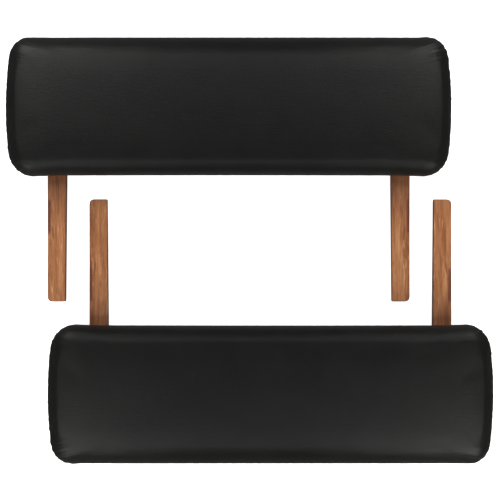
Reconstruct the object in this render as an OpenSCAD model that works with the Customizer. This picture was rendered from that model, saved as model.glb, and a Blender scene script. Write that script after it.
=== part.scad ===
// Pair of removable side armrests for a portable massage table.
// Each armrest is a padded panel on two wooden rails, which plug into the table's side frame.
// The pair lies flat, with the rails pointing at each other and passing side by side.
// Origin: middle of the pair, on the surface it lies on. +X along the panels, +Z up.

/* [Pad] */
// Length of the padded panel, end to end
pad_l = 660; // [600:5:760]
// Width of the padded panel
pad_w = 204; // [180:1:240]
// Radius of the shallow bow of each end, in plan
end_bow_r = 640; // [520:10:900]
// Corner radius in plan, on the side away from the table
outer_corner_r = 34; // [30:1:45]
// Corner radius in plan, on the side towards the table
inner_corner_r = 40; // [30:1:50]
// Radius of the roll over the pad's top edge
edge_roll_r = 17; // [10:0.5:20]
// Height of the middle of the top above its edge
crown_h = 2.5; // [0.5:0.5:5]
// Distance that the foam bulges out beyond the board's edge
board_inset = 5; // [3:0.5:7]

/* [Layers] */
// Thickness of the leathercloth cover
cover_t = 1.2; // [0.8:0.1:2]
// Width of the cover's hem, turned under the board
hem_w = 26; // [24:1:28]
// Thickness of the soft upper foam at the pad's edge
comfort_foam_t = 25; // [22:1:40]
// Thickness of the firm lower foam
base_foam_t = 15; // [10:1:25]
// Thickness of the plywood board
board_t = 9; // [9:1:15]
// Thickness of the non-woven lining under the board
lining_t = 0.5; // [0.3:0.1:0.8]
// Distance from the pad's edge to the lining's edge
lining_inset = 16; // [14:1:18]

/* [Rails] */
// Thickness of a rail
rail_t = 20; // [16:1:25]
// Width of a rail under the pad
rail_w = 28.3; // [26:0.1:34]
// Width of a rail at its free end
rail_tip_w = 26.6; // [24:0.1:34]
// Length of rail that stands out beyond the pad
rail_reach = 187; // [140:1:195]
// Distance from the pad's middle to a rail's outer face
rail_offset = 269; // [200:1:272]
// Distance from a rail's hidden end to the pad's outer edge
rail_end_inset = 42; // [35:1:50]
// Radius of the eased edges along a rail
rail_edge_r = 1.6; // [0.8:0.1:3]
// Corner radius in plan of a rail's free end, on the outer side
tip_outer_r = 6.5; // [2:0.5:8]

/* [Fasteners] */
// Diameter of the rail bolts
bolt_d = 6; // [5:1:8]
// Diameter of a bolt's flat head
bolt_head_d = 15; // [13:0.5:18]
// Thickness of a bolt's flat head
bolt_head_t = 3; // [2:0.5:4]
// Distance from the pad's inner edge to the nearer bolt of a rail
bolt_edge = 38; // [38:1:44]
// Distance from a rail's hidden end to its other bolt
bolt_end = 18; // [14:1:24]
// Distance between the staples that hold the cover's hem
cover_staple_pitch = 32; // [24:1:60]
// Distance between the staples that hold the lining
lining_staple_pitch = 46; // [30:1:80]

/* [Layout] */
// Gap between the inner edges of the two pads
pair_gap = 222; // [210:1:320]
// Shift of each pad along its length, so that the rails pass side by side
pad_shift = 31; // [20:1:60]

/* [Hidden] */
$fn = 48;

// Clearance round the layers inside the cover, and overshoot of a cut
slack = 0.1;
cut = 1;

// Heights of the layers, from the rails' underside upwards
hem_z = rail_t + lining_t;
board_z = hem_z + cover_t;
base_foam_z = board_z + board_t;
comfort_foam_z = base_foam_z + base_foam_t;
edge_top_z = comfort_foam_z + comfort_foam_t + cover_t;

// The pad in plan
half_w = pad_w / 2;
bow_x = pad_l / 2 - end_bow_r;
min_corner_r = 4;
corner_steps = 8;
bow_steps = 6;

// The pad in section: steps of the rolled edge, and the rings of the crown as
// [distance in from the rolled edge, share of the crown's height]
roll_steps = 5;
crown_rings = [[22, 0.6], [50, 1]];
hem_edge_r = 3;
hem_inset = board_inset + hem_w;
inner_side = board_inset - slack;
outer_side = inner_side - cover_t;

// Rails, in the frame of one armrest, whose pad is centred and whose rails point to -Y
rail_tip_y = -half_w - rail_reach;
rail_end_y = half_w - rail_end_inset;
bolt_ys = [-half_w + bolt_edge, rail_end_y - bolt_end];
bolt_x = rail_offset - rail_w / 2;
tip_inner_r = 1.5;
tip_steps = [0, 0.03, 0.11, 0.24, 0.42, 0.68, 1];
section_steps = 3;

// Fasteners
bolt_play = 0.05;
bolt_hole_d = bolt_d + 0.6;
head_sink = 0.6;
head_play = 0.5;
hex_key_d = 4.6;
hex_key_depth = 1.8;
nut_flange_d = 19;
nut_flange_t = 1.2;
nut_barrel_d = bolt_d + 2;
nut_l = 8;
nut_play = 0.05;
prong_r = 8.2;
prong_w = 2.6;
prong_t = 0.8;
prong_l = 5;
staple_crown = 10;
staple_wire_w = 1.2;
staple_wire_t = 0.6;
staple_bite = 5;
cover_staple_inset = board_inset + 20;
lining_staple_inset = lining_inset + 4;

// ---- Plan outline of the pad ----

function arc(x, y, r, a0, a1, steps) =
    [for (i = [0:steps]) let (a = a0 + (a1 - a0) * i / steps) [x + r * cos(a), y + r * sin(a)]];

// Angle from the bow's centre to a corner of radius r, on an outline moved in by d
function corner_angle(r, d) = asin((half_w - d - r) / (end_bow_r - d - r));

function corner_x(r, d) = bow_x + (end_bow_r - d - r) * cos(corner_angle(r, d));

// One end: the inner corner, the bow and the outer corner, each running into the next
function end_arcs(d) =
    let (
        ri = max(inner_corner_r - d, min_corner_r),
        ro = max(outer_corner_r - d, min_corner_r),
        ai = -corner_angle(ri, d),
        ao = corner_angle(ro, d),
        bow = arc(bow_x, 0, end_bow_r - d, ai, ao, bow_steps)
    )
    concat(
        arc(corner_x(ri, d), -(half_w - d - ri), ri, -90, ai, corner_steps),
        [for (i = [1:bow_steps - 1]) bow[i]],
        arc(corner_x(ro, d), half_w - d - ro, ro, ao, 90, corner_steps)
    );

// The whole outline moved in by d, anticlockwise seen from above
function outline(d) =
    let (e = end_arcs(d))
    concat(e, [for (i = [len(e) - 1:-1:0]) [-e[i].x, e[i].y]]);

function ring(d, z) = [for (p = outline(d)) [p.x, p.y, z]];

// ---- Section of the pad ----

// The rolled edge and the crown at a depth t below the outer face, as [inset, height]
function top_profile(t) = concat(
    [for (i = [0:roll_steps]) let (a = 90 * i / roll_steps)
        [edge_roll_r - (edge_roll_r - t) * cos(a), edge_top_z - edge_roll_r + (edge_roll_r - t) * sin(a)]],
    [for (c = crown_rings) [edge_roll_r + c[0], edge_top_z - t + crown_h * c[1]]]
);

// Outside of the cover: under the board, round its edge, out over the foam and up to the crown
outer_profile = concat(
    [
        [hem_inset, hem_z],
        [outer_side + hem_edge_r, hem_z],
        [outer_side + hem_edge_r * (1 - cos(45)), hem_z + hem_edge_r * (1 - sin(45))],
        [outer_side, hem_z + hem_edge_r],
        [outer_side, base_foam_z],
        [0, comfort_foam_z]
    ],
    top_profile(0)
);

// Inside of the cover, by the same way
inner_profile = concat(
    [
        [hem_inset, board_z],
        [inner_side, board_z],
        [inner_side, base_foam_z],
        [cover_t, comfort_foam_z]
    ],
    top_profile(cover_t)
);

base_foam_profile = [[board_inset, base_foam_z], [cover_t + slack, comfort_foam_z]];
comfort_foam_profile = concat([[cover_t + slack, comfort_foam_z]], top_profile(cover_t + slack));

// Solid through rings with equal numbers of points, closed by the first and the last ring
module ring_solid(rings) {
    n = len(rings[0]);
    m = len(rings);
    sides = [for (k = [0:m - 2], i = [0:n - 1]) let (j = (i + 1) % n)
        [k * n + i, (k + 1) * n + i, (k + 1) * n + j, k * n + j]];
    first_cap = [for (i = [0:n - 1]) i];
    last_cap = [for (i = [n - 1:-1:0]) (m - 1) * n + i];
    polyhedron(points = [for (r = rings) each r], faces = concat([first_cap], sides, [last_cap]));
}

// Flat layer of the pad, d inside its outline
module layer(d, z, t) {
    translate([0, 0, z])
        linear_extrude(t)
            polygon(outline(d));
}

module at_bolts() {
    for (side = [-1, 1], y = bolt_ys)
        translate([side * bolt_x, y, 0])
            children();
}

// ---- Pieces of one armrest ----

// One sheet over the foam, round the board and under its edge
module cover() {
    inside = [for (i = [len(inner_profile) - 1:-1:0]) inner_profile[i]];
    color("#262626")
        ring_solid([for (p = concat(inside, outer_profile)) ring(p[0], p[1])]);
}

module comfort_foam() {
    color("#e6dfc8")
        ring_solid([for (p = comfort_foam_profile) ring(p[0], p[1])]);
}

module base_foam() {
    color("#b9c4c9")
        ring_solid([for (p = base_foam_profile) ring(p[0], p[1])]);
}

// Plywood, drilled for the tee nuts and recessed for their flanges
module board() {
    color("#c9a877")
        difference() {
            layer(board_inset, board_z, board_t);
            at_bolts() {
                translate([0, 0, board_z - cut])
                    cylinder(d = nut_barrel_d + 2 * nut_play, h = board_t + 2 * cut);
                translate([0, 0, base_foam_z - nut_flange_t])
                    cylinder(d = nut_flange_d + 2 * nut_play, h = nut_flange_t + cut);
            }
        }
}

module lining() {
    color("#1b1b1c")
        difference() {
            layer(lining_inset, rail_t, lining_t);
            at_bolts()
                translate([0, 0, rail_t - cut])
                    cylinder(d = bolt_hole_d, h = lining_t + 2 * cut);
        }
}

// A staple with its crown at z = 0, its legs upwards and its crown along X
module staple(leg) {
    rotate([90, 0, 0])
        linear_extrude(staple_wire_w, center = true)
            difference() {
                translate([-staple_crown / 2, 0])
                    square([staple_crown, leg]);
                translate([-staple_crown / 2 + staple_wire_t, staple_wire_t])
                    square([staple_crown - 2 * staple_wire_t, leg]);
            }
}

// Distance along a closed outline to each of its points, and back to the first
function distances(p) =
    [for (i = 0, s = 0; i <= len(p); s = s + norm(p[(i + 1) % len(p)] - p[i % len(p)]), i = i + 1) s];

// Evenly spaced places along the outline moved in by d, as [x, y, direction]
function staple_places(d, pitch) =
    let (
        p = outline(d),
        s = distances(p),
        xs = [for (i = [0:len(p)]) [s[i], p[i % len(p)].x]],
        ys = [for (i = [0:len(p)]) [s[i], p[i % len(p)].y]],
        total = s[len(p)],
        count = floor(total / pitch),
        reach = staple_crown / 2
    )
    [for (k = [0:count - 1])
        let (
            at = total * (k + 0.5) / count,
            x0 = lookup(at - reach, xs),
            y0 = lookup(at - reach, ys),
            x1 = lookup(at + reach, xs),
            y1 = lookup(at + reach, ys)
        )
        [(x0 + x1) / 2, (y0 + y1) / 2, atan2(y1 - y0, x1 - x0)]];

// Is a staple clear of the rails?
function clear_of_rails(p) =
    p.y > rail_end_y || abs(p.x) < rail_offset - rail_w - staple_crown || abs(p.x) > rail_offset + staple_crown;

// Crowns sunk flush in the hem, legs in the board
module cover_staples() {
    color("#b8babb")
        for (p = staple_places(cover_staple_inset, cover_staple_pitch))
            translate([p[0], p[1], hem_z])
                rotate(p[2])
                    staple(cover_t + staple_bite);
}

// Crowns on the face of the lining, legs through the hem into the board
module lining_staples() {
    color("#b8babb")
        for (p = staple_places(lining_staple_inset, lining_staple_pitch))
            if (clear_of_rails(p))
                translate([p[0], p[1], rail_t - staple_wire_t])
                    rotate(p[2])
                        staple(staple_wire_t + lining_t + cover_t + staple_bite);
}

// How far a rounded end of radius r draws in at a distance t from the end
function end_inset(r, t) = t >= r ? 0 : r - sqrt(r * r - (r - t) * (r - t));

function rail_width(y) =
    y >= -half_w ? rail_w : rail_tip_w + (rail_w - rail_tip_w) * (y - rail_tip_y) / rail_reach;

// Section of the rail at y, drawn in at the outer side, the inner side, and the top and bottom
function rail_ring(y, outer, inner, faces) =
    let (
        r = rail_edge_r,
        x0 = rail_offset - rail_width(y) + inner + r,
        x1 = rail_offset - outer - r,
        z0 = faces + r,
        z1 = rail_t - faces - r,
        section = concat(
            arc(x1, z0, r, -90, 0, section_steps),
            arc(x1, z1, r, 0, 90, section_steps),
            arc(x0, z1, r, 90, 180, section_steps),
            arc(x0, z0, r, 180, 270, section_steps)
        )
    )
    [for (p = section) [p[0], y, p[1]]];

// Rail on the +X side: straight outer face, inner face tapered beyond the pad, eased edges and ends
module plain_rail() {
    tip = [for (s = tip_steps) let (t = s * tip_outer_r)
        rail_ring(rail_tip_y + t, end_inset(tip_outer_r, t), end_inset(tip_inner_r, t), end_inset(rail_edge_r, t))];
    root = [for (s = [1, 0.4, 0.1, 0]) let (t = s * rail_edge_r, e = end_inset(rail_edge_r, t))
        rail_ring(rail_end_y - t, e, e, e)];
    rings = concat(tip, [rail_ring(-half_w, 0, 0, 0)], root);
    ring_solid([for (i = [len(rings) - 1:-1:0]) rings[i]]);
}

// side is 1 for the rail on the +X side and -1 for its mirror image
module rail(side) {
    color("#a9693f")
        difference() {
            mirror([side < 0 ? 1 : 0, 0, 0])
                plain_rail();
            for (y = bolt_ys)
                translate([side * bolt_x, y, 0]) {
                    translate([0, 0, -cut])
                        cylinder(d = bolt_head_d + 2 * head_play, h = bolt_head_t + head_sink + cut);
                    translate([0, 0, -cut])
                        cylinder(d = bolt_hole_d, h = rail_t + 2 * cut);
                }
        }
}

// Flat head sunk in the rail, hexagon socket below, shank up into the tee nut
module rail_bolts() {
    color("#8d8f90")
        at_bolts()
            difference() {
                union() {
                    translate([0, 0, head_sink])
                        cylinder(d = bolt_head_d, h = bolt_head_t);
                    translate([0, 0, head_sink])
                        cylinder(d = bolt_d - 2 * bolt_play, h = base_foam_z - head_sink - nut_flange_t / 2);
                }
                translate([0, 0, head_sink - cut])
                    cylinder(d = hex_key_d, h = hex_key_depth + cut, $fn = 6);
            }
}

// Flange flush with the board's top, barrel down through the board, four prongs in the wood
module tee_nuts() {
    color("#c8bf9c")
        at_bolts()
            difference() {
                union() {
                    translate([0, 0, base_foam_z - nut_flange_t])
                        cylinder(d = nut_flange_d, h = nut_flange_t);
                    translate([0, 0, base_foam_z - nut_l])
                        cylinder(d = nut_barrel_d, h = nut_l);
                    for (a = [45:90:315])
                        rotate(a)
                            translate([prong_r, 0, base_foam_z - nut_flange_t])
                                rotate([-90, 0, 90])
                                    linear_extrude(prong_t, center = true)
                                        polygon([[-prong_w / 2, 0], [prong_w / 2, 0], [0, prong_l]]);
                }
                translate([0, 0, base_foam_z - nut_l - cut])
                    cylinder(d = bolt_d, h = nut_l + 2 * cut);
            }
}

// ---- The pair ----

module left() {
    translate([-pad_shift, (pair_gap + pad_w) / 2, 0])
        children();
}

// The right armrest is the left one turned half round
module right() {
    rotate([0, 0, 180])
        left()
            children();
}

left() cover();  // left_cover
left() comfort_foam();  // left_comfort_foam
left() base_foam();  // left_base_foam
left() board();  // left_board
left() lining();  // left_lining
left() cover_staples();  // left_cover_staples
left() lining_staples();  // left_lining_staples
left() rail(1);  // left_head_rail
left() rail(-1);  // left_foot_rail
left() rail_bolts();  // left_rail_bolts
left() tee_nuts();  // left_tee_nuts
right() cover();  // right_cover
right() comfort_foam();  // right_comfort_foam
right() base_foam();  // right_base_foam
right() board();  // right_board
right() lining();  // right_lining
right() cover_staples();  // right_cover_staples
right() lining_staples();  // right_lining_staples
right() rail(-1);  // right_head_rail
right() rail(1);  // right_foot_rail
right() rail_bolts();  // right_rail_bolts
right() tee_nuts();  // right_tee_nuts
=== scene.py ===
"""Looks of a pair of padded side armrests for a massage table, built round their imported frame."""

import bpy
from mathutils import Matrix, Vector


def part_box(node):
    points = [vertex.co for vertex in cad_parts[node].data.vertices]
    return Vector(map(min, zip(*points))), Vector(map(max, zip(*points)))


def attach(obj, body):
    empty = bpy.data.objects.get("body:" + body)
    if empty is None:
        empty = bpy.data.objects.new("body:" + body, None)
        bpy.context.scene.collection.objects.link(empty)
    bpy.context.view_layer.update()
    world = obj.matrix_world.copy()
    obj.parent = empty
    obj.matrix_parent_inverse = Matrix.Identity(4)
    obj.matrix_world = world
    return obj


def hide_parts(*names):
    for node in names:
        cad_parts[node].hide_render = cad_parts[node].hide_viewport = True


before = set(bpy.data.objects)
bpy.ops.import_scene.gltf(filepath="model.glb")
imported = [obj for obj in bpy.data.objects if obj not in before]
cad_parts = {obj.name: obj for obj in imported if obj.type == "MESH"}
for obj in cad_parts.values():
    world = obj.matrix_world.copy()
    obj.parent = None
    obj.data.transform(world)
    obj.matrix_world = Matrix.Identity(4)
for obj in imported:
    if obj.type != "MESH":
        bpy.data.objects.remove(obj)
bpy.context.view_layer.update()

import math

import bmesh
import bpy
import numpy as np
from mathutils import Matrix, Vector

MM = 0.001

# ---- Sizes ----

# The pad of the left armrest, from its packed cover
cover_low, cover_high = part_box("left_cover")
PAD_CENTRE = Vector(((cover_low.x + cover_high.x) / 2, (cover_low.y + cover_high.y) / 2, 0))
HALF_L = (cover_high.x - cover_low.x) / 2
HALF_W = (cover_high.y - cover_low.y) / 2
HEM_Z = cover_low.z
TOP_Z = cover_high.z
FIRM_FOAM_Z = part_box("left_base_foam")[0].z
SOFT_FOAM_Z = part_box("left_comfort_foam")[0].z
LINING_LOW, LINING_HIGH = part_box("left_lining")
COVER_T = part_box("left_board")[0].z - HEM_Z

# Clearance between the cover's inner face and the foam
FOAM_SLACK = 0.3 * MM

# Outline in plan: a shallow bow at each end, and rounder corners on the rails' side
END_BOW_R = 640 * MM
OUTER_CORNER_R = 34 * MM
INNER_CORNER_R = 40 * MM
LEAST_CORNER_R = 4 * MM
BOW_X = HALF_L - END_BOW_R

# Mesh of the cover: quads along a long side and along an end, closer together round the corners
LONG_STEPS = 84
END_STEPS = 28
CORNER_DENSITY = 1.8
ARC_STEPS = 16
INSET_STEP = 1 * MM
FIELD_INSET = 46 * MM

# Section of the cover, from the hem's inner edge outwards and up
HEM_INSETS = [31 * MM, 24 * MM, 17 * MM, 11 * MM]
BOARD_SIDE = 3.7 * MM
HEM_EDGE_R = 3 * MM
EDGE_STEPS = 3
WALL_STEPS = 5
ROLL_STEPS = 9
FIELD_STEPS = 4

# The roll over the top edge, as [top of the wall, width of the roll, squareness]
OUTER_ROLL = np.array([46 * MM, 29 * MM, 1.0])
INNER_ROLL = np.array([46 * MM, 24 * MM, 1.0])
END_ROLL = np.array([40 * MM, 14 * MM, 1.4])

# Shares of an end: where its own roll has taken over, and where the roll of the rails' side turns into
# that of the outer side
END_BLEND = 0.28
SIDE_CHANGE_START = 0.2
SIDE_CHANGE_LENGTH = 0.6

# The crown: its highest line lies off centre, towards the rails
CROWN_Y = -55 * MM
CROWN_FALL_OUTER = 7.5 * MM
CROWN_FALL_INNER = 0.5 * MM
CROWN_FALL_END = 6 * MM
CROWN_OUTER_POWER = 2.2
CROWN_INNER_POWER = 2
CROWN_END_POWER = 14


# ---- Outline of the pad ----

def arc(centre, radius, start, end):
    """Points along an arc, angles in radians."""
    angles = np.linspace(start, end, ARC_STEPS + 1)
    return np.column_stack((centre[0] + radius * np.cos(angles), centre[1] + radius * np.sin(angles)))


def corner(radius, inset, side):
    """Centre and bow-side angle of a corner, on the outline moved in by inset. side is -1 at the rails."""
    angle = math.asin((HALF_W - inset - radius) / (END_BOW_R - inset - radius))
    x = BOW_X + (END_BOW_R - inset - radius) * math.cos(angle)
    return (x, side * (HALF_W - inset - radius)), side * angle


def spaced(path, dense, count):
    """count + 1 points along a path, closer together where dense is true for a stretch."""
    lengths = np.linalg.norm(np.diff(path, axis=0), axis=1) * np.where(dense, CORNER_DENSITY, 1)
    distance = np.concatenate(([0], np.cumsum(lengths)))
    wanted = np.linspace(0, distance[-1], count + 1)
    return np.column_stack([np.interp(wanted, distance, path[:, k]) for k in (0, 1)])


def mirrored(path):
    """A path mirrored in the pad's middle, run the other way."""
    return path[::-1] * (-1, 1)


def outline(inset):
    """The four stretches of the outline moved in by inset, anticlockwise from the rails' corner at +X."""
    inner_r = max(INNER_CORNER_R - inset, LEAST_CORNER_R)
    outer_r = max(OUTER_CORNER_R - inset, LEAST_CORNER_R)
    inner_centre, inner_angle = corner(inner_r, inset, -1)
    outer_centre, outer_angle = corner(outer_r, inset, 1)
    inner_middle = (inner_angle - math.pi / 2) / 2
    outer_middle = (outer_angle + math.pi / 2) / 2

    near = arc(inner_centre, inner_r, inner_middle, inner_angle)
    bow = arc((BOW_X, 0), END_BOW_R - inset, inner_angle, outer_angle)
    far = arc(outer_centre, outer_r, outer_angle, outer_middle)
    end = np.concatenate((near, bow[1:], far[1:]))
    end_dense = np.repeat([True, False, True], ARC_STEPS)

    outer_arc = arc(outer_centre, outer_r, outer_middle, math.pi / 2)
    inner_arc = arc(inner_centre, inner_r, -math.pi / 2, inner_middle)
    long_dense = np.repeat([True, False, True], [ARC_STEPS, 1, ARC_STEPS])
    outer_side = np.concatenate((outer_arc, mirrored(outer_arc)))
    inner_side = np.concatenate((mirrored(inner_arc), inner_arc))
    return [
        spaced(end, end_dense, END_STEPS),
        spaced(outer_side, long_dense, LONG_STEPS),
        spaced(mirrored(end), end_dense, END_STEPS),
        spaced(inner_side, long_dense, LONG_STEPS),
    ]


def closed_ring(inset):
    """The whole outline moved in by inset, its last point joined to its first."""
    return np.concatenate([stretch[:-1] for stretch in outline(inset)])


# Rings at even insets, which ring_at looks between
RING_TABLE = np.array([
    closed_ring(k * INSET_STEP) for k in range(round(FIELD_INSET / INSET_STEP) + 1)
])
RING_COUNT = RING_TABLE.shape[1]


def ring_at(insets):
    """One ring whose points are each moved in by their own inset."""
    place = np.clip(np.broadcast_to(insets, RING_COUNT) / INSET_STEP, 0, len(RING_TABLE) - 1.001)
    low = place.astype(int)
    share = (place - low)[:, None]
    points = np.arange(RING_COUNT)
    return RING_TABLE[low, points] * (1 - share) + RING_TABLE[low + 1, points] * share


def smooth_step(t):
    """0 below 0, 1 above 1, and a soft rise between."""
    t = np.clip(t, 0, 1)
    return t * t * (3 - 2 * t)


# ---- Shape of the cover ----

def crown_height(points):
    """Height of the top over points in plan."""
    x, y = points[:, 0], points[:, 1]
    outwards = np.clip(y - CROWN_Y, 0, None) / (HALF_W - CROWN_Y)
    inwards = np.clip(CROWN_Y - y, 0, None) / (HALF_W + CROWN_Y)
    outer = CROWN_FALL_OUTER * outwards ** CROWN_OUTER_POWER
    inner = CROWN_FALL_INNER * inwards ** CROWN_INNER_POWER
    return TOP_Z - outer - inner - CROWN_FALL_END * np.abs(x / HALF_L) ** CROWN_END_POWER


def end_rolls(outwards):
    """The roll along an end, where outwards goes from 0 at the rails' side to 1 at the other."""
    end_share = smooth_step(outwards / END_BLEND) * smooth_step((1 - outwards) / END_BLEND)
    side_share = smooth_step((outwards - SIDE_CHANGE_START) / SIDE_CHANGE_LENGTH)[:, None]
    side_roll = INNER_ROLL * (1 - side_share) + OUTER_ROLL * side_share
    return side_roll * (1 - end_share)[:, None] + END_ROLL * end_share[:, None]


def roll_of_each_point():
    """The roll at each point of a ring."""
    outwards = np.arange(END_STEPS) / END_STEPS
    return np.concatenate((
        end_rolls(outwards),
        np.tile(OUTER_ROLL, (LONG_STEPS, 1)),
        end_rolls(1 - outwards),
        np.tile(INNER_ROLL, (LONG_STEPS, 1)),
    ))


def section_rings():
    """Rings of the cover's outer face, from the hem's inner edge up to the edge of the flat field."""
    wall_top, roll_w, squareness = roll_of_each_point().T
    flat = np.zeros(RING_COUNT)
    rings = [(flat + inset, flat + HEM_Z) for inset in HEM_INSETS]
    for angle in np.linspace(0, math.pi / 2, EDGE_STEPS + 1):
        rings.append((
            flat + BOARD_SIDE + HEM_EDGE_R * (1 - math.sin(angle)),
            flat + HEM_Z + HEM_EDGE_R * (1 - math.cos(angle)),
        ))
    wall_low = HEM_Z + HEM_EDGE_R
    for k in range(1, WALL_STEPS + 1):
        up = k / WALL_STEPS
        inset = flat + BOARD_SIDE * (1 + math.cos(math.pi * up)) / 2
        rings.append((inset, wall_low + (wall_top - wall_low) * up))
    points = [np.column_stack((ring_at(inset), z)) for inset, z in rings]
    for k in range(1, ROLL_STEPS + 1):
        angle = math.pi / 2 * k / ROLL_STEPS
        plan = ring_at(roll_w * (1 - math.cos(angle) ** squareness))
        z = wall_top + (crown_height(plan) - wall_top) * math.sin(angle) ** squareness
        points.append(np.column_stack((plan, z)))
    for k in range(1, FIELD_STEPS + 1):
        plan = ring_at(roll_w + (FIELD_INSET - roll_w) * k / FIELD_STEPS)
        points.append(np.column_stack((plan, crown_height(plan))))
    return points


def field_points(edge):
    """Points inside a ring, as a grid blended from its four stretches: LONG_STEPS + 1 by END_STEPS + 1."""
    right = edge[:END_STEPS + 1]
    top = edge[END_STEPS:END_STEPS + LONG_STEPS + 1][::-1]
    left = edge[END_STEPS + LONG_STEPS:2 * END_STEPS + LONG_STEPS + 1][::-1]
    bottom = np.concatenate((edge[2 * END_STEPS + LONG_STEPS:], edge[:1]))
    u = np.linspace(0, 1, LONG_STEPS + 1)[:, None, None]
    v = np.linspace(0, 1, END_STEPS + 1)[None, :, None]
    sides = (1 - u) * left[None] + u * right[None]
    lines = (1 - v) * bottom[:, None] + v * top[:, None]
    corners = (
        (1 - u) * (1 - v) * bottom[0] + u * (1 - v) * bottom[-1]
        + (1 - u) * v * top[0] + u * v * top[-1]
    )
    return sides + lines - corners


def field_indices(first_edge, first_inside):
    """Vertex number at each place of the grid, which shares its border with the last ring."""
    grid = np.zeros((LONG_STEPS + 1, END_STEPS + 1), int)
    grid[-1, :] = first_edge + np.arange(END_STEPS + 1)
    grid[:, -1] = first_edge + END_STEPS + np.arange(LONG_STEPS + 1)[::-1]
    grid[0, :] = first_edge + END_STEPS + LONG_STEPS + np.arange(END_STEPS + 1)[::-1]
    grid[:, 0] = first_edge + (2 * END_STEPS + LONG_STEPS + np.arange(LONG_STEPS + 1)) % RING_COUNT
    inside = (LONG_STEPS - 1) * (END_STEPS - 1)
    grid[1:-1, 1:-1] = first_inside + np.arange(inside).reshape(LONG_STEPS - 1, END_STEPS - 1)
    return grid


def ring_quads(count):
    """Quads between count rings, facing outwards where the rings go up."""
    return [
        (k * RING_COUNT + i, k * RING_COUNT + (i + 1) % RING_COUNT,
         (k + 1) * RING_COUNT + (i + 1) % RING_COUNT, (k + 1) * RING_COUNT + i)
        for k in range(count - 1) for i in range(RING_COUNT)
    ]


def grid_quads(grid):
    """Quads between the places of a grid of vertex numbers."""
    return [
        (grid[i, j], grid[i + 1, j], grid[i + 1, j + 1], grid[i, j + 1])
        for i in range(grid.shape[0] - 1) for j in range(grid.shape[1] - 1)
    ]


def new_object(name, points, faces):
    """An object with a smooth mesh of the given points and faces."""
    mesh = bpy.data.meshes.new(name)
    mesh.from_pydata([tuple(p) for p in points], [], [tuple(int(k) for k in f) for f in faces])
    mesh.validate()
    mesh.shade_smooth()
    made = bpy.data.objects.new(name, mesh)
    bpy.context.scene.collection.objects.link(made)
    return made


def coordinates(mesh):
    points = np.empty(len(mesh.vertices) * 3)
    mesh.vertices.foreach_get("co", points)
    return points.reshape(-1, 3)


def vertex_normals(mesh):
    normals = np.empty(len(mesh.vertices) * 3)
    mesh.vertex_normals.foreach_get("vector", normals)
    return normals.reshape(-1, 3)


def set_coordinates(mesh, points):
    mesh.vertices.foreach_set("co", points.ravel())
    mesh.update()


def final_mesh(piece, name):
    """The mesh of a piece with its modifiers applied. The piece itself goes."""
    shown = piece.evaluated_get(bpy.context.evaluated_depsgraph_get())
    mesh = bpy.data.meshes.new_from_object(shown)
    mesh.name = name
    bpy.data.objects.remove(piece)
    return mesh


# ---- Leather pulled over the foam ----

CLOTH = {
    "quality": 6,
    "mass": 0.3,
    "tension_stiffness": 25,
    "compression_stiffness": 25,
    "shear_stiffness": 10,
    "bending_stiffness": 4,
    "use_pressure": True,
    "uniform_pressure_force": 4,
}
SWELL_FRAMES = 20
SWELL_CAP = 3.5 * MM
PUCKER_SHARE = 0.2
CALMING_PASSES = 25
PINNED_BELOW = HEM_Z + HEM_EDGE_R
FIT_HEIGHT = 18 * MM

# How near to a cutting plane a point counts as on it
ON_PLANE = 0.01 * MM

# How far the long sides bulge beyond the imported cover, and how far the corners on the rails' side stand
# out beyond the side between them
SIDE_BULGE = 0.8 * MM
EAR = 1.1 * MM
EAR_START = 245 * MM
EAR_BLEND = 40 * MM

# Pull marks in the leather: their height along the sides, and what is added at the ends and the corners
PULL_SIDE = 0.12 * MM
PULL_END = 0.4 * MM
PULL_CORNER = 0.45 * MM
PULL_END_REACH = 60 * MM
PULL_END_BLEND = 40 * MM
PULL_CORNER_INSET = 30 * MM
PULL_CORNER_REACH = 60 * MM
PULL_WAVE_BROAD = 13 * MM
PULL_WAVE_FINE = 7 * MM
PULL_AROUND = 260 * MM


def calmed(mesh, field):
    """A field over a mesh's points, evened out between neighbours."""
    edges = np.empty(len(mesh.edges) * 2, int)
    mesh.edges.foreach_get("vertices", edges)
    a, b = edges.reshape(-1, 2).T
    neighbours = np.bincount(np.concatenate((a, b)))[:, None]
    for _ in range(CALMING_PASSES):
        total = np.zeros_like(field)
        np.add.at(total, a, field[b])
        np.add.at(total, b, field[a])
        field = (field + total / neighbours) / 2
    return field


def fitted_to_box(points):
    """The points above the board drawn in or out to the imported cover's length, width and height."""
    share = smooth_step((points[:, 2] - PINNED_BELOW) / FIT_HEIGHT)
    fitted = points.copy()
    for axis, half in ((0, HALF_L), (1, HALF_W + SIDE_BULGE)):
        fitted[:, axis] *= 1 + (half / np.abs(points[:, axis]).max() - 1) * share
    top = points[:, 2].max()
    fitted[:, 2] = HEM_Z + (points[:, 2] - HEM_Z) * (1 + ((TOP_Z - HEM_Z) / (top - HEM_Z) - 1) * share)
    at_corner = smooth_step((np.abs(points[:, 0]) - EAR_START) / EAR_BLEND)
    fitted[:, 1] -= EAR * share * at_corner * smooth_step(-points[:, 1] / HALF_W * 2 - 1)
    return fitted


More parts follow.
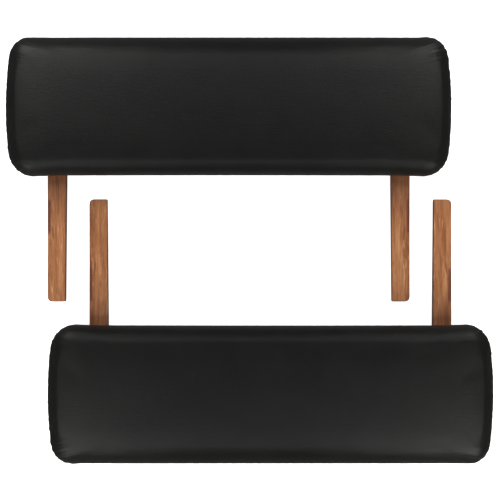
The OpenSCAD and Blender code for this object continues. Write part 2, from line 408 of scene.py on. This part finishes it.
def swell(piece):
    """Blows the cover up against its pinned hem, as the foam does. How far a point moves is capped,
    and most of the puckers are stretched out of it."""
    mesh = piece.data
    start = coordinates(mesh)
    pinned = piece.vertex_groups.new(name="pinned")
    pinned.add([int(k) for k in np.nonzero(start[:, 2] < PINNED_BELOW)[0]], 1, "REPLACE")
    cloth = piece.modifiers.new("cloth", "CLOTH")
    for setting, value in CLOTH.items():
        setattr(cloth.settings, setting, value)
    cloth.settings.vertex_group_mass = pinned.name
    cloth.settings.effector_weights.gravity = 0
    scene = bpy.context.scene
    scene.frame_start = 1
    scene.frame_end = SWELL_FRAMES
    cloth.point_cache.frame_start = 1
    cloth.point_cache.frame_end = SWELL_FRAMES
    for k in range(1, SWELL_FRAMES + 1):
        scene.frame_set(k)
    shown = piece.evaluated_get(bpy.context.evaluated_depsgraph_get())
    moved = coordinates(shown.data) - start
    piece.modifiers.remove(cloth)
    piece.vertex_groups.clear()
    scene.frame_set(1)
    moved *= SWELL_CAP / (SWELL_CAP + np.linalg.norm(moved, axis=1, keepdims=True))
    even = calmed(mesh, moved)
    set_coordinates(mesh, fitted_to_box(start + even + (moved - even) * PUCKER_SHARE))


def cover_surface():
    """Outer face of one armrest's cover, swelled and subdivided, in the armrest's own frame."""
    rings = section_rings()
    inside = field_points(rings[-1])
    inside[:, :, 2] = crown_height(inside.reshape(-1, 3)).reshape(inside.shape[:2])
    grid = field_indices((len(rings) - 1) * RING_COUNT, len(rings) * RING_COUNT)
    points = np.concatenate(rings + [inside[1:-1, 1:-1].reshape(-1, 3)])
    piece = new_object("cover_surface", points, ring_quads(len(rings)) + grid_quads(grid))
    swell(piece)
    piece.modifiers.new("smooth", "SUBSURF").levels = 1
    return final_mesh(piece, "cover_surface")


def ripple(position, seed, wavelength):
    """Soft irregular waves, within -1 and 1, along a position in metres."""
    draw = np.random.default_rng(seed)
    total = np.zeros_like(position)
    for _ in range(4):
        length = wavelength * draw.uniform(0.7, 1.6)
        total += np.sin(2 * math.pi * position / length + draw.uniform(0, 2 * math.pi)) / 4
    return total


def pull_marks(points):
    """How far out each point of the cover lies because of the tension in the leather."""
    x, y, z = points.T
    angle = np.arctan2(y / HALF_W, x / HALF_L)
    around = angle * PULL_AROUND
    to_corner = np.hypot(
        np.abs(x) - (HALF_L - PULL_CORNER_INSET), np.abs(y) - (HALF_W - PULL_CORNER_INSET)
    )
    at_corner = 1 - smooth_step(to_corner / PULL_CORNER_REACH)
    at_end = smooth_step((np.abs(x) - (HALF_L - PULL_END_REACH)) / PULL_END_BLEND)
    up = (z - HEM_Z) / (TOP_Z - HEM_Z)
    on_wall = smooth_step(up / 0.12) * (1 - smooth_step((up - 0.35 - 0.2 * at_end) / 0.5))
    strength = PULL_SIDE + PULL_END * at_end + PULL_CORNER * at_corner
    waves = ripple(around, 3, PULL_WAVE_BROAD) + 0.6 * ripple(around + z * 0.4, 8, PULL_WAVE_FINE)
    return strength * on_wall * waves


def shell(mesh, name, thickness):
    """A closed sheet of the given thickness, whose outer face is the mesh."""
    outer = coordinates(mesh)
    inner = outer - vertex_normals(mesh) * thickness
    count = len(outer)
    faces = [tuple(p.vertices) for p in mesh.polygons]
    back = [tuple(k + count for k in reversed(f)) for f in faces]
    used = dict.fromkeys((a, b) for face in faces for a, b in zip(face, face[1:] + face[:1]))
    border = [edge for edge in used if (edge[1], edge[0]) not in used]
    rim = [(b, a, a + count, b + count) for a, b in border]
    return new_object(name, np.concatenate((outer, inner)), faces + back + rim)


def slab(mesh, name, depth, low, high):
    """What the cover holds between two heights, its face depth under the cover's outer face."""
    points = coordinates(mesh) - vertex_normals(mesh) * depth
    piece = new_object(name, points, [p.vertices for p in mesh.polygons])
    work = bmesh.new()
    work.from_mesh(piece.data)
    for z, normal in ((low, (0, 0, 1)), (high, (0, 0, -1))):
        if z is None:
            continue
        geometry = work.verts[:] + work.edges[:] + work.faces[:]
        bmesh.ops.bisect_plane(work, geom=geometry, plane_co=(0, 0, z), plane_no=normal, clear_inner=True)
        border = [
            e for e in work.edges
            if e.is_boundary and all(abs(v.co.z - z) < ON_PLANE for v in e.verts)
        ]
        bmesh.ops.holes_fill(work, edges=border, sides=0)
    bmesh.ops.recalc_face_normals(work, faces=work.faces[:])
    work.to_mesh(piece.data)
    work.free()
    return piece


# ---- Lining ----

LINING_SAG = 0.7 * MM
LINING_SAG_EDGE = 30 * MM
LINING_WAVE = 70 * MM
BOLT_HEAD_R = 7.5 * MM
BOLT_HOLE_R = 3.3 * MM
DRILL_LENGTH = 20 * MM


def bolt_places():
    """The four bolts in plan, in the armrest's own frame."""
    low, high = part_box("left_rail_bolts")
    return [
        (x - PAD_CENTRE.x, y - PAD_CENTRE.y)
        for x in (low.x + BOLT_HEAD_R, high.x - BOLT_HEAD_R)
        for y in (low.y + BOLT_HEAD_R, high.y - BOLT_HEAD_R)
    ]


def drills(places, radius):
    """Cutters for holes through a flat sheet."""
    work = bmesh.new()
    for x, y in places:
        bmesh.ops.create_cone(
            work, cap_ends=True, segments=32, radius1=radius, radius2=radius, depth=DRILL_LENGTH,
            matrix=Matrix.Translation((x, y, LINING_LOW.z)),
        )
    mesh = bpy.data.meshes.new("drills")
    work.to_mesh(mesh)
    work.free()
    made = bpy.data.objects.new("drills", mesh)
    bpy.context.scene.collection.objects.link(made)
    return made


def lining_mesh():
    """Non-woven sheet stapled under the board, slack between the rails, with a hole for each bolt."""
    inset = LINING_LOW.x - (PAD_CENTRE.x - HALF_L)
    edge = np.column_stack((ring_at(inset), np.zeros(RING_COUNT)))
    inside = field_points(edge)[1:-1, 1:-1].reshape(-1, 3)
    grid = field_indices(0, RING_COUNT)
    plan = np.concatenate((edge, inside))
    x, y = plan[:, 0], plan[:, 1]
    rail_inner = PAD_CENTRE.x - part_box("left_foot_rail")[1].x
    off_rails = smooth_step((rail_inner - np.abs(x)) / LINING_SAG_EDGE)
    off_edge = smooth_step((HALF_W - inset - np.abs(y)) / LINING_SAG_EDGE)
    sag = LINING_SAG * off_rails * off_edge * (0.6 + 0.4 * ripple(x + 0.3 * y, 5, LINING_WAVE))
    low = plan + np.column_stack((np.zeros((len(plan), 2)), LINING_LOW.z - sag))
    high = low + (0, 0, LINING_HIGH.z - LINING_LOW.z)
    count = len(plan)
    bottom = [tuple(reversed(f)) for f in grid_quads(grid)]
    top = [tuple(k + count for k in f) for f in grid_quads(grid)]
    border = [(i, (i + 1) % RING_COUNT) for i in range(RING_COUNT)]
    rim = [(a, b, b + count, a + count) for a, b in border]
    sheet = new_object("lining_sheet", np.concatenate((low, high)), bottom + top + rim)
    cutter = drills(bolt_places(), BOLT_HOLE_R)
    holes = sheet.modifiers.new("holes", "BOOLEAN")
    holes.object = cutter
    holes.solver = "EXACT"
    mesh = final_mesh(sheet, "lining_sheet")
    bpy.data.objects.remove(cutter)
    return mesh


# ---- Materials ----

# Ramps are (place, colour) stops
LEATHER_TONES = [(0.3, (0.0054, 0.0055, 0.0053)), (0.7, (0.0076, 0.0077, 0.0073))]
LEATHER_ROUGHNESS = (0.37, 0.43)
LINING_TONES = [(0.3, (0.006, 0.006, 0.0065)), (0.75, (0.03, 0.03, 0.032))]
LINING_PITCH = 1.6 * MM
PLY_FACE_TONES = [(0.3, (0.37, 0.24, 0.12)), (0.5, (0.52, 0.36, 0.2)), (0.72, (0.6, 0.44, 0.27))]
PLY_EDGE_TONES = [(0.2, (0.22, 0.12, 0.055)), (0.55, (0.42, 0.28, 0.15)), (0.85, (0.56, 0.41, 0.24))]
PLY_PITCH = 2.6 * MM
WOOD_TONES = [
    (0.33, (0.15, 0.043, 0.013)),
    (0.45, (0.28, 0.1, 0.032)),
    (0.55, (0.37, 0.148, 0.054)),
    (0.67, (0.49, 0.24, 0.105)),
]
WOOD_END_TONES = [(0.3, (0.1, 0.036, 0.018)), (0.7, (0.23, 0.1, 0.052))]
FLOOR_TONES = [(0.3, (0.9, 0.9, 0.9)), (0.7, (0.92, 0.92, 0.92))]

# Each foam's dark and light tone, and whether it is bonded from chips
FOAMS = {
    "soft_foam": ((0.5, 0.43, 0.27), (0.82, 0.76, 0.58), False),
    "firm_foam": ((0.22, 0.26, 0.3), (0.6, 0.66, 0.68), True),
}

# Each metal's dark and light tone, roughness, and scale of its scratches along the three axes
METALS = {
    "staple_wire": ((0.45, 0.45, 0.44), (0.68, 0.69, 0.69), 0.34, (60, 60, 60)),
    "bolt_steel": ((0.4, 0.41, 0.43), (0.62, 0.63, 0.65), 0.36, (900, 900, 70)),
    "nut_steel": ((0.5, 0.4, 0.2), (0.72, 0.63, 0.36), 0.38, (500, 500, 90)),
}

# The stain's dark places on a rail, in the armrest's own frame with the rail at +X, as (from, to)
STREAK_X = (264.4 * MM, 270 * MM)
STREAK_Y = (-187 * MM, -138 * MM)
FLECK_X = (258.8 * MM, 261.2 * MM)
FLECK_Y = (-196 * MM, -178 * MM)
FLECK_SLANT = -0.12

# Painted shadow of the pad: the wood is darkened between these distances from the pad
PAD_SHADOW_REACH = (42 * MM, 18 * MM)


class Shader:
    """A material round one Principled shader. Constants go on the shader's own sockets."""

    def __init__(self, name, **constants):
        self.material = bpy.data.materials.new(name)
        self.material.use_nodes = True
        self.tree = self.material.node_tree
        self.surface = self.tree.nodes["Principled BSDF"]
        for socket, value in constants.items():
            self.surface.inputs[socket.replace("_", " ")].default_value = value
        self.place = self.node("ShaderNodeTexCoord").outputs["Object"]

    def node(self, kind, inputs=(), **settings):
        """A node with its settings, and its inputs as (socket, value or output) pairs."""
        made = self.tree.nodes.new(kind)
        for setting, value in settings.items():
            setattr(made, setting, value)
        for socket, value in inputs:
            self.feed(made.inputs[socket], value)
        return made

    def feed(self, socket, value):
        if isinstance(value, bpy.types.NodeSocket):
            self.tree.links.new(value, socket)
        else:
            socket.default_value = value

    def mapped(self, vector, scale=(1, 1, 1), turn=(0, 0, 0), shift=(0, 0, 0)):
        inputs = [("Vector", vector), ("Scale", scale), ("Rotation", turn), ("Location", shift)]
        return self.node("ShaderNodeMapping", inputs).outputs["Vector"]

    def noise(self, vector, scale, detail=2.0, roughness=0.5, distortion=0.0):
        inputs = [("Vector", vector), ("Scale", scale), ("Detail", detail), ("Roughness", roughness),
                  ("Distortion", distortion)]
        return self.node("ShaderNodeTexNoise", inputs).outputs["Fac"]

    def cells(self, vector, scale):
        inputs = [("Vector", vector), ("Scale", scale)]
        return self.node("ShaderNodeTexVoronoi", inputs).outputs["Distance"]

    def math(self, operation, a, b=0.0):
        return self.node("ShaderNodeMath", [(0, a), (1, b)], operation=operation).outputs[0]

    def fitted(self, value, low, high, to_low=0.0, to_high=1.0):
        """A value between low and high carried to the range to_low to to_high, held at its ends."""
        inputs = [("Value", value), ("From Min", low), ("From Max", high),
                  ("To Min", to_low), ("To Max", to_high)]
        return self.node("ShaderNodeMapRange", inputs).outputs["Result"]

    def colours(self, value, stops):
        """A ramp of (place, (red, green, blue)) stops."""
        ramp = self.node("ShaderNodeValToRGB", [("Fac", value)])
        elements = ramp.color_ramp.elements
        while len(elements) < len(stops):
            elements.new(0.5)
        for element, (place, colour) in zip(elements, stops):
            element.position = place
            element.color = (*colour, 1)
        return ramp.outputs["Color"]

    def mixed(self, share, a, b, blend="MIX"):
        made = self.node("ShaderNodeMix", data_type="RGBA", blend_type=blend)
        self.feed(made.inputs[0], share)
        for socket, value in ((made.inputs[6], a), (made.inputs[7], b)):
            self.feed(socket, value if isinstance(value, bpy.types.NodeSocket) else (*value, 1))
        return made.outputs[2]

    def parts(self, vector):
        return self.node("ShaderNodeSeparateXYZ", [("Vector", vector)]).outputs

    def bump(self, height, distance, strength=1.0, below=None):
        inputs = [("Height", height), ("Distance", distance), ("Strength", strength)]
        if below is not None:
            inputs.append(("Normal", below))
        return self.node("ShaderNodeBump", inputs).outputs["Normal"]

    def finish(self, colour=None, roughness=None, normal=None):
        for socket, value in (("Base Color", colour), ("Roughness", roughness), ("Normal", normal)):
            if value is not None:
                self.feed(self.surface.inputs[socket], value)
        return self.material


def leather_material():
    """Black leathercloth: small pebbles with fine creases between them, and slow changes of gloss."""
    s = Shader("leathercloth", Specular_IOR_Level=0.17)
    drift = s.noise(s.place, 16, detail=3)
    colour = s.colours(drift, LEATHER_TONES)
    wander = s.node("ShaderNodeTexNoise", [("Vector", s.place), ("Scale", 420.0)]).outputs["Color"]
    bent = s.mixed(0.0012, s.place, wander, "ADD")
    pebbles = s.fitted(s.cells(bent, 640), 0.0, 0.75, 1.0, 0.0)
    pores = s.noise(s.place, 1500, detail=2)
    lines = s.noise(s.mapped(s.place, (70, 330, 330)), 1.0, detail=3, roughness=0.6)
    roughness = s.fitted(s.noise(s.place, 55, detail=4, roughness=0.6), 0.3, 0.7, *LEATHER_ROUGHNESS)
    normal = s.bump(lines, 0.32 * MM, 0.5)
    normal = s.bump(pebbles, 0.15 * MM, 0.6, normal)
    normal = s.bump(pores, 0.05 * MM, 0.4, normal)
    return s.finish(colour, roughness, normal)


def foam_material(name, dark, light, chips):
    """Open-cell foam, with painted shade in its pores. Bonded foam shows the chips it was made from."""
    s = Shader(name, Specular_IOR_Level=0.2)
    cells = s.cells(s.place, 1300)
    tone = s.noise(s.place, 60, detail=4, roughness=0.7)
    if chips:
        found = s.node("ShaderNodeTexVoronoi", [("Vector", s.place), ("Scale", 95.0)]).outputs["Color"]
        tone = s.mixed(0.5, s.mixed(1.0, found, (0.33, 0.33, 0.33), "MULTIPLY"), tone)
    colour = s.colours(tone, [(0.25, dark), (0.75, light)])
    # Painted shade: the pores are darkened towards the foam's dark tone
    colour = s.mixed(s.fitted(cells, 0.1, 0.5, 0.35, 0.0), colour, dark)
    return s.finish(colour, s.fitted(tone, 0, 1, 0.88, 0.98), s.bump(cells, 0.5 * MM, 0.8))


def lining_material():
    """Black spun-bond cloth: fibres pressed flat in a grid of small points."""
    s = Shader("lining_cloth", Specular_IOR_Level=0.2)
    x, y, _ = s.parts(s.mapped(s.place, (1, 1, 1), (0, 0, math.pi / 4)))
    pitch = 2 * math.pi / LINING_PITCH
    rows = s.math("SINE", s.math("MULTIPLY", x, pitch))
    columns = s.math("SINE", s.math("MULTIPLY", y, pitch))
    dots = s.math("MULTIPLY", rows, columns)
    fibres = s.noise(s.mapped(s.place, (900, 240, 900)), 1.0, detail=4, roughness=0.7)
    colour = s.colours(fibres, LINING_TONES)
    normal = s.bump(s.math("MAXIMUM", dots, 0.0), -0.12 * MM, 0.8, s.bump(fibres, 0.08 * MM, 0.7))
    return s.finish(colour, s.fitted(fibres, 0.3, 0.7, 0.7, 0.9), normal)


def metal_material(name, dark, light, roughness, brushed):
    """Plated steel wire or pressings, lightly scratched and clouded."""
    s = Shader(name, Metallic=1.0)
    cloud = s.noise(s.place, 260, detail=4, roughness=0.65)
    scratches = s.noise(s.mapped(s.place, brushed), 1.0, detail=3, roughness=0.7)
    tones = [(0.3, dark), (0.7, light)]
    colour = s.mixed(0.35, s.colours(cloud, tones), s.colours(scratches, tones))
    return s.finish(colour, s.fitted(cloud, 0.25, 0.75, roughness - 0.08, roughness + 0.1),
                    s.bump(scratches, 0.03 * MM, 0.5))


def plywood_material():
    """Birch plywood: long grain on its faces, light and dark plies on its edges."""
    s = Shader("plywood", Specular_IOR_Level=0.3)
    grain = s.noise(s.mapped(s.place, (7, 130, 130)), 1.0, detail=5, roughness=0.65, distortion=0.6)
    face = s.colours(grain, PLY_FACE_TONES)
    _, _, z = s.parts(s.place)
    ply = s.math("SINE", s.math("MULTIPLY", s.math("ADD", z, 0.3 * MM), 2 * math.pi / PLY_PITCH))
    edge_grain = s.noise(s.mapped(s.place, (90, 90, 700)), 1.0, detail=4, roughness=0.7)
    edge_tone = s.math("ADD", s.math("MULTIPLY", ply, 0.35), edge_grain)
    edge = s.colours(edge_tone, PLY_EDGE_TONES)
    upright = s.parts(s.node("ShaderNodeNewGeometry").outputs["Normal"])[2]
    on_face = s.fitted(s.math("ABSOLUTE", upright), 0.3, 0.7)
    roughness = s.fitted(grain, 0.3, 0.7, 0.5, 0.65)
    return s.finish(s.mixed(on_face, edge, face), roughness, s.bump(grain, 0.08 * MM, 0.6))


def band(s, value, limits, blur):
    """1 between two limits and 0 outside them, with soft edges."""
    rise = s.fitted(value, limits[0] - blur, limits[0] + blur)
    fall = s.fitted(value, limits[1] - blur, limits[1] + blur, 1.0, 0.0)
    return s.math("MULTIPLY", rise, fall)


def rail_material(name, box, turned, seed):
    """Stained and varnished beech, its grain along the rail, with darker end grain, painted shade on its
    eased edges and sides, and a painted shadow of the pad.
    """
    s = Shader(name, Specular_IOR_Level=0.35, Coat_Weight=0.12, Coat_Roughness=0.3)
    centre = -PAD_CENTRE if turned else PAD_CENTRE
    outer_side = 1 if ((box[0].x + box[1].x) / 2 - centre.x) * (-1 if turned else 1) > 0 else -1
    turn = math.pi if turned else 0
    shift = centre if turned else -centre
    own = s.mapped(s.place, (outer_side, 1, 1), (0, 0, turn), (outer_side * shift.x, shift.y, 0))
    x, y, z = s.parts(own)

    grown = s.mapped(own, (1, 1, 1), shift=(0, seed * 0.71, seed * 0.13))
    broad = s.noise(s.mapped(grown, (120, 7, 90)), 1.0, detail=3, roughness=0.55, distortion=0.4)
    fine = s.noise(s.mapped(grown, (620, 16, 500)), 1.0, detail=4, roughness=0.65)
    blotch = s.noise(s.mapped(grown, (60, 22, 60)), 1.0, detail=2)
    pores = s.noise(s.mapped(grown, (1700, 85, 1500)), 1.0, detail=2, roughness=0.6)
    tone = s.math("ADD", s.math("MULTIPLY", broad, 0.62), s.math("MULTIPLY", fine, 0.38))
    colour = s.colours(tone, WOOD_TONES)
    colour = s.mixed(s.fitted(blotch, 0.52, 0.72, 0.0, 0.45), colour, (0.29, 0.1, 0.04))
    colour = s.mixed(s.fitted(pores, 0.58, 0.7, 0.0, 0.6), colour, (0.12, 0.038, 0.015))
    leaning = s.mapped(grown, (300, 24, 240), (0, 0, -0.1))
    figure = s.noise(leaning, 1.0, detail=3, roughness=0.6, distortion=1.4)
    colour = s.mixed(s.fitted(figure, 0.54, 0.66, 0.0, 0.6), colour, (0.16, 0.05, 0.018))
    colour = s.mixed(s.fitted(figure, 0.42, 0.32, 0.0, 0.5), colour, (0.62, 0.35, 0.17))

    streak = s.math("MULTIPLY", band(s, x, STREAK_X, 0.6 * MM), band(s, y, STREAK_Y, 3 * MM))
    slanted = s.math("ADD", x, s.math("MULTIPLY", s.math("SUBTRACT", y, FLECK_Y[0]), FLECK_SLANT))
    fleck = s.math("MULTIPLY", band(s, slanted, FLECK_X, 0.5 * MM), band(s, y, FLECK_Y, 4 * MM))
    uneven = s.fitted(fine, 0.35, 0.6, 0.7, 1.0)
    colour = s.mixed(s.math("MULTIPLY", streak, uneven), colour, (0.12, 0.026, 0.012))
    colour = s.mixed(s.math("MULTIPLY", fleck, uneven), colour, (0.17, 0.055, 0.02))

    # Painted shadow of the pad: the rail is darkened next to the pad
    pad_shadow_share = s.fitted(y, -HALF_W - PAD_SHADOW_REACH[0], -HALF_W - PAD_SHADOW_REACH[1], 0.0, 0.35)
    colour = s.mixed(pad_shadow_share, colour, (0.12, 0.04, 0.017))

    # Painted shade: faces that are not level, the eased edges and the sides, are darkened
    facing = s.parts(s.node("ShaderNodeNewGeometry").outputs["Normal"])
    level = s.math("ABSOLUTE", facing[2])
    colour = s.mixed(s.fitted(level, 0.6, 0.99, 0.85, 0.0), colour, (0.06, 0.028, 0.018))
    rings = s.noise(s.mapped(grown, (420, 1, 420)), 1.0, detail=5, roughness=0.7)
    end_colour = s.colours(rings, WOOD_END_TONES)
    colour = s.mixed(s.fitted(s.math("ABSOLUTE", facing[1]), 0.75, 0.95), colour, end_colour)

    normal = s.bump(fine, 0.06 * MM, 0.5, s.bump(pores, -0.05 * MM, 0.6))
    return s.finish(colour, s.fitted(broad, 0.3, 0.7, 0.42, 0.54), normal)


def floor_material():
    """Matt white studio floor, with a trace of mottling."""
    s = Shader("studio_floor", Specular_IOR_Level=0.0, Roughness=1.0)
    mottle = s.noise(s.place, 3, detail=2)
    s.surface.inputs["Emission Color"].default_value = (1, 1, 1, 1)
    s.surface.inputs["Emission Strength"].default_value = FLOOR_GLOW
    return s.finish(s.colours(mottle, FLOOR_TONES))


# ---- The object ----

def placed(mesh, name, turned):
    """A copy of a mesh from the armrest's own frame, put where that armrest lies."""
    turn = Matrix.Rotation(math.pi, 4, "Z") if turned else Matrix.Identity(4)
    own = mesh.copy()
    own.transform(turn @ Matrix.Translation(PAD_CENTRE))
    made = bpy.data.objects.new(name, own)
    bpy.context.scene.collection.objects.link(made)
    return made


def dress(piece, material):
    piece.data.materials.clear()
    piece.data.materials.append(material)


def build_armrest(side, turned, meshes, materials):
    """Soft pieces of one armrest in place of its plain CAD solids, and a finish for its other pieces."""
    body = side + "_armrest"
    for piece_name, node, mesh, finish, fill in (
        ("leather_cover", "cover", "cover", "leathercloth", 0.9),
        ("soft_foam_pad", "comfort_foam", "soft_foam", "soft_foam", 1.0),
        ("firm_foam_pad", "base_foam", "firm_foam", "firm_foam", 1.0),
        ("lining_sheet", "lining", "lining", "lining_cloth", None),
    ):
        piece = placed(meshes[mesh], f"{side}_{piece_name}", turned)
        dress(piece, materials[finish])
        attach(piece, body)
        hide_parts(f"{side}_{node}")
    for node, finish in (
        ("board", "plywood"),
        ("cover_staples", "staple_wire"),
        ("lining_staples", "staple_wire"),
        ("rail_bolts", "bolt_steel"),
        ("tee_nuts", "nut_steel"),
    ):
        dress(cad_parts[f"{side}_{node}"], materials[finish])
    for seed, node in enumerate(("head_rail", "foot_rail")):
        name = f"{side}_{node}"
        wood = rail_material(f"rail_wood_{name}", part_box(name), turned, seed + 2 * turned + 1)
        dress(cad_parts[name], wood)


def build_pair():
    """Both armrests from one set of soft meshes, the right one turned half round."""
    surface = cover_surface()
    points = coordinates(surface)
    set_coordinates(surface, points + vertex_normals(surface) * pull_marks(points)[:, None])
    meshes = {
        "cover": shell(surface, "cover_shell", COVER_T).data,
        "soft_foam": slab(surface, "soft_foam", COVER_T + FOAM_SLACK, SOFT_FOAM_Z, None).data,
        "firm_foam": slab(surface, "firm_foam", COVER_T + FOAM_SLACK, FIRM_FOAM_Z, SOFT_FOAM_Z).data,
        "lining": lining_mesh(),
    }
    for name in ("cover_shell", "soft_foam", "firm_foam"):
        bpy.data.objects.remove(bpy.data.objects[name])
    materials = {
        "leathercloth": leather_material(),
        **{name: foam_material(name, *look) for name, look in FOAMS.items()},
        "lining_cloth": lining_material(),
        "plywood": plywood_material(),
        **{name: metal_material(name, *look) for name, look in METALS.items()},
    }
    for side, turned in (("left", False), ("right", True)):
        build_armrest(side, turned, meshes, materials)


# ---- Studio ----

FLOOR_HALF = 25.0
FLOOR_GLOW = 0.85
BACKDROP_R = 24.0
BACKDROP_H = 14.0
VIEW_WIDTH = 740.9 * MM
VIEW_LEVEL = 31 * MM
VIEW_CENTRE = (0.7 * MM, 0.6 * MM)
LENS = 200
SENSOR = 36

# Brightness of the surroundings, as (sine of the angle above the horizon, level): beyond the long sides,
# and beyond the ends, where the studio is darker. SKY_CHANGE is how far sideways one turns into the other.
SKY_SIDES = [
    (-0.98, 0.36), (-0.15, 0.36), (-0.08, 0.55), (0.05, 0.55), (0.12, 0.02), (0.25, 0.06), (0.98, 0.14),
]
SKY_ENDS = [(-0.98, 0.06), (-0.15, 0.07), (0.05, 0.12), (0.12, 0.02), (0.25, 0.06), (0.98, 0.14)]
SKY_CHANGE = (0.3, 0.8)

COOL = (0.88, 0.93, 1)
WARM = (1, 0.985, 0.94)

# Softboxes of one quarter of the studio, as [place, what it points at, size, brightness, colour, spread in
# degrees]. The other three quarters have their mirror images.
SOFTBOXES = {
    "overhead_strip": [(0, 0.72, 1.3), (0, 0.25, 0), (2.4, 0.3), 1.9, COOL, 180],
    "side_strip": [(0.6, 0.95, 0.62), (0.45, 0.32, 0), (0.55, 0.2), 1.5, WARM, 55],
    "end_box": [(0.72, 0.72, 1.25), (0.35, 0.35, 0), (0.45, 0.35), 0.4, WARM, 60],
    "shoulder_box": [(0.5, 0.85, 1.25), (0.3, 0.4, 0), (0.5, 0.4), 0.56, WARM, 60],
    "crest_box": [(0.6, 0.6, 1.25), (0.35, 0.35, 0), (0.4, 0.3), 0.21, WARM, 60],
    "corner_box": [(0.98, 0.76, 1.2), (0.45, 0.38, 0), (0.4, 0.4), 0.5, WARM, 60],
    "low_box": [(1.2, 1.3, 0.8), (0.6, 0.4, 0), (0.6, 0.5), 4.2, WARM, 110],
}


def staged(name, work, material):
    """A mesh of the studio, kept out of reflections."""
    mesh = bpy.data.meshes.new(name)
    work.to_mesh(mesh)
    work.free()
    made = bpy.data.objects.new(name, mesh)
    bpy.context.scene.collection.objects.link(made)
    dress(made, material)
    made.visible_glossy = False
    return made


def add_floor():
    """The floor, and a pale wall far behind it that lights nothing."""
    material = floor_material()
    ground = bmesh.new()
    bmesh.ops.create_grid(ground, x_segments=4, y_segments=4, size=FLOOR_HALF)
    staged("studio_floor", ground, material)
    ring = bmesh.new()
    bmesh.ops.create_cone(
        ring, segments=96, radius1=BACKDROP_R, radius2=BACKDROP_R, depth=2 * BACKDROP_H,
    )
    backdrop = staged("studio_backdrop", ring, material)
    backdrop.visible_diffuse = False
    backdrop.visible_shadow = False


def add_sky():
    """A dim studio, pale round the horizon."""
    world = bpy.data.worlds.new("studio")
    bpy.context.scene.world = world
    world.use_nodes = True
    tree = world.node_tree
    split = tree.nodes.new("ShaderNodeSeparateXYZ")
    tree.links.new(tree.nodes.new("ShaderNodeTexCoord").outputs["Generated"], split.inputs[0])
    height = tree.nodes.new("ShaderNodeMapRange")
    height.inputs["From Min"].default_value = -1
    tree.links.new(split.outputs["Z"], height.inputs["Value"])
    sideways = tree.nodes.new("ShaderNodeMath")
    sideways.operation = "ABSOLUTE"
    tree.links.new(split.outputs["Y"], sideways.inputs[0])
    share = tree.nodes.new("ShaderNodeMapRange")
    share.inputs["From Min"].default_value = SKY_CHANGE[0]
    share.inputs["From Max"].default_value = SKY_CHANGE[1]
    tree.links.new(sideways.outputs[0], share.inputs["Value"])
    blend = tree.nodes.new("ShaderNodeMix")
    blend.data_type = "RGBA"
    tree.links.new(share.outputs["Result"], blend.inputs[0])
    for socket, levels in ((blend.inputs[6], SKY_ENDS), (blend.inputs[7], SKY_SIDES)):
        ramp = tree.nodes.new("ShaderNodeValToRGB")
        elements = ramp.color_ramp.elements
        for place, level in levels:
            elements.new((place + 1) / 2).color = (level, level, level, 1)
        elements.remove(elements[0])
        elements.remove(elements[-1])
        tree.links.new(height.outputs["Result"], ramp.inputs["Fac"])
        tree.links.new(ramp.outputs["Color"], socket)
    tree.links.new(blend.outputs[2], tree.nodes["Background"].inputs["Color"])


def add_softbox(name, place, target, size, radiance, colour, spread):
    """A rectangle of even light, which the camera doesn't see. Size is its width and height."""
    lamp = bpy.data.lights.new(name, "AREA")
    lamp.shape = "RECTANGLE"
    lamp.size, lamp.size_y = size
    lamp.energy = radiance * math.pi * size[0] * size[1]
    lamp.color = colour
    lamp.spread = math.radians(spread)
    box = bpy.data.objects.new(name, lamp)
    aim = (Vector(place) - Vector(target)).normalized()
    across = Vector((1, 0, 0))
    upwards = aim.cross(across).normalized()
    box.matrix_world = Matrix.Translation(place) @ Matrix((across, upwards, aim)).transposed().to_4x4()
    box.visible_camera = False
    bpy.context.scene.collection.objects.link(box)


def add_lights():
    """The softboxes, the same on both sides of the pair and at both of its ends."""
    for name, (place, target, size, radiance, colour, spread) in SOFTBOXES.items():
        for end in ((1, -1) if place[0] else (1,)):
            for side in (1, -1):
                turned = (end, side, 1)
                add_softbox(
                    name, Vector(place) * Vector(turned), Vector(target) * Vector(turned),
                    size, radiance, colour, spread,
                )


def add_camera():
    """Straight above the pair, far enough off for its frame to be as wide as the photograph's."""
    lens = bpy.data.cameras.new("camera")
    lens.lens = LENS
    lens.sensor_width = SENSOR
    lens.clip_end = 100
    camera = bpy.data.objects.new("camera", lens)
    camera.location = (*VIEW_CENTRE, VIEW_LEVEL + VIEW_WIDTH * LENS / SENSOR)
    bpy.context.scene.collection.objects.link(camera)
    bpy.context.scene.camera = camera


build_pair()
add_floor()
add_sky()
add_lights()
add_camera()
bpy.context.scene.view_settings.view_transform = "Standard"
